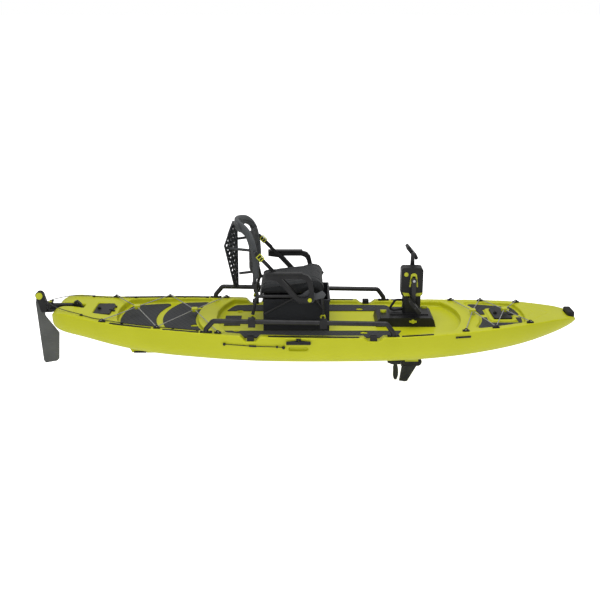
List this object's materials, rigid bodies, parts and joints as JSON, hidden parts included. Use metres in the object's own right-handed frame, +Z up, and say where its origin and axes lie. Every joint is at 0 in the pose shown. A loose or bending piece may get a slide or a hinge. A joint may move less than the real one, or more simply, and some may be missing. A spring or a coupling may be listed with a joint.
{
  "type": "pedal boat",
  "caption": "Sit-on-top boat driven by pedals: moulded hull with frame seat, crank and propeller unit through the hull, and a kick-up rudder.",
  "frame": {"origin": "on the flat underside of the keel band, on the centre line, a little aft of the hull's middle", "axes": "+X towards the bow, +Y to port, +Z up"},
  "size_m": [3.654, 0.9078, 1.1664],
  "materials": {
    "lime_shell": "fine moulded grain",
    "lime_plastic": "satin",
    "black_plastic": "fine grain",
    "grey_plastic": "fine grain",
    "foam": "brushed foam with cut grooves",
    "seal": "matte",
    "rubber": "ribbed",
    "black_metal": "satin powder coat",
    "grey_metal": "satin powder coat",
    "steel": "turned",
    "cord": "braided",
    "webbing": "woven",
    "seat_fabric": "coated mesh cloth",
    "grey_fabric": "padded cloth"
  },
  "bodies": {
    "hull": {"hull": "lime_shell", "hull_trims": "black_plastic", "deck_pads": "foam", "gear_tracks": "black_metal", "padeyes": "black_plastic", "bungee_hubs": "lime_plastic", "bungee_cords": "cord", "bow_handle": "black_plastic", "handle_eyelets": "black_plastic", "paddle_keeper": "cord", "hatch_seals": "seal", "hatch_hinges": "black_plastic", "side_rails": "black_metal", "rail_fittings": "black_plastic", "seat_frame": "black_metal", "seat_hooks": "lime_plastic", "side_plates": "grey_metal", "seat_bolts": "steel", "seat_cushion": "seat_fabric", "seat_box": "black_plastic", "drive_dock": "black_plastic", "drive_tower": "black_plastic", "gearbox_starboard": "black_plastic", "gearbox_port": "black_plastic", "drive_trims": "lime_plastic", "bearings": "steel", "lower_casing": "black_metal", "skeg_fin": "grey_plastic", "rudder_mount": "black_plastic", "steering_lines": "cord", "steering_guides": "black_plastic", "rudder_lines": "cord"},
    "stern_lid": {"stern_hatch_lid": "black_plastic"},
    "bow_lid": {"bow_hatch_lid": "black_plastic"},
    "stern_latch": {"stern_latch": "lime_plastic"},
    "bow_latch": {"bow_latch": "lime_plastic"},
    "grip_starboard": {"handle_starboard": "rubber"},
    "grip_port": {"handle_port": "rubber"},
    "arm_starboard": {"armrest_starboard": "black_metal"},
    "arm_port": {"armrest_port": "black_metal"},
    "backrest": {"backrest_frame": "grey_metal", "lattice_panel": "grey_plastic", "back_band": "grey_fabric", "back_fabric": "seat_fabric", "back_straps": "webbing", "strap_buckles": "lime_plastic"},
    "crank": {"crank_axle": "steel", "crank_arms": "black_metal"},
    "pedal_starboard": {"pedal_starboard": "black_plastic"},
    "pedal_port": {"pedal_port": "black_plastic"},
    "drive_shaft": {"drive_shaft": "steel"},
    "prop": {"prop_shaft": "steel", "propeller": "grey_plastic"},
    "dock_knob_rear": {"dock_knob_rear": "lime_plastic"},
    "dock_knob_front": {"dock_knob_front": "lime_plastic"},
    "wing_knob": {"wing_knob": "lime_plastic"},
    "rudder_head": {"rudder_head": "black_plastic", "rudder_pins": "steel"},
    "rudder_blade": {"rudder_blade": "grey_plastic"},
    "steering_lever": {"steering_lever": "black_plastic"}
  },
  "joints": [
    {"name": "rudder_steer", "type": "hinge", "parent": "hull", "child": "rudder_head", "pos_m": [-1.69219, 0, 0.325], "axis": [0, 0, 1], "range_deg": [-35, 35], "deforming": ["rudder_lines"]},
    {"name": "rudder_kick_up", "type": "hinge", "parent": "rudder_head", "child": "rudder_blade", "pos_m": [-1.75819, 0, 0.407], "axis": [0, 1, 0], "range_deg": [0, 110]},
    {"name": "lever_turn", "type": "hinge", "parent": "hull", "child": "steering_lever", "pos_m": [0.06, 0.353, 0.37], "axis": [0, 0, 1], "range_deg": [-35, 35]},
    {"name": "stern_lid_hinge", "type": "hinge", "parent": "hull", "child": "stern_lid", "pos_m": [-1.263, 0, 0.3153], "axis": [0, 1, 0], "range_deg": [0, 100]},
    {"name": "bow_lid_hinge", "type": "hinge", "parent": "hull", "child": "bow_lid", "pos_m": [1.435, 0, 0.2823], "axis": [0, 1, 0], "range_deg": [0, 100], "deforming": ["bungee_cords", "bungee_hubs"]},
    {"name": "stern_latch_turn", "type": "hinge", "parent": "stern_lid", "child": "stern_latch", "pos_m": [-1.362, 0, 0.3], "axis": [0, 0, 1], "range_deg": [0, 90]},
    {"name": "bow_latch_turn", "type": "hinge", "parent": "bow_lid", "child": "bow_latch", "pos_m": [1.326, 0, 0.27], "axis": [0, 0, 1], "range_deg": [0, 90]},
    {"name": "grip_starboard_swing", "type": "hinge", "parent": "hull", "child": "grip_starboard", "pos_m": [-0.01, -0.443, 0.245], "axis": [-1, 0, 0], "range_deg": [0, 90]},
    {"name": "grip_port_swing", "type": "hinge", "parent": "hull", "child": "grip_port", "pos_m": [-0.01, 0.443, 0.245], "axis": [1, 0, 0], "range_deg": [0, 90]},
    {"name": "arm_starboard_lift", "type": "hinge", "parent": "hull", "child": "arm_starboard", "pos_m": [0.063, -0.28, 0.468], "axis": [0, 1, 0], "range_deg": [0, 75]},
    {"name": "arm_port_lift", "type": "hinge", "parent": "hull", "child": "arm_port", "pos_m": [0.063, 0.28, 0.468], "axis": [0, 1, 0], "range_deg": [0, 75]},
    {"name": "backrest_fold", "type": "hinge", "parent": "hull", "child": "backrest", "pos_m": [-0.296, 0, 0.548], "axis": [0, 1, 0], "range_deg": [-6, 55], "deforming": ["back_straps", "strap_buckles"]},
    {"name": "crank_turn", "type": "hinge", "parent": "hull", "child": "crank", "pos_m": [0.76, 0, 0.524], "axis": [0, 1, 0], "continuous": true},
    {"name": "pedal_starboard_spin", "type": "hinge", "parent": "crank", "child": "pedal_starboard", "pos_m": [0.76, -0.13, 0.372], "axis": [0, 1, 0], "continuous": true},
    {"name": "pedal_port_spin", "type": "hinge", "parent": "crank", "child": "pedal_port", "pos_m": [0.76, 0.13, 0.676], "axis": [0, 1, 0], "continuous": true},
    {"name": "shaft_turn", "type": "hinge", "parent": "hull", "child": "drive_shaft", "pos_m": [0.76, 0, 0.2], "axis": [0, 0, 1], "continuous": true},
    {"name": "prop_turn", "type": "hinge", "parent": "hull", "child": "prop", "pos_m": [0.7, 0, -0.075], "axis": [1, 0, 0], "continuous": true},
    {"name": "dock_knob_rear_turn", "type": "hinge", "parent": "hull", "child": "dock_knob_rear", "pos_m": [0.566, 0, 0.29], "axis": [0, 0, 1], "range_deg": [0, 90]},
    {"name": "dock_knob_front_turn", "type": "hinge", "parent": "hull", "child": "dock_knob_front", "pos_m": [0.852, 0.084, 0.29], "axis": [0, 0, 1], "range_deg": [0, 90]},
    {"name": "wing_knob_turn", "type": "hinge", "parent": "hull", "child": "wing_knob", "pos_m": [0.754, -0.13, 0.262], "axis": [0, 1, 0], "range_deg": [-90, 90]}
  ],
  "couplings": [
    {"joint": "lever_turn", "follows": "rudder_steer", "ratio": 1},
    {"joint": "shaft_turn", "follows": "crank_turn", "ratio": 3},
    {"joint": "prop_turn", "follows": "crank_turn", "ratio": 6}
  ]
}
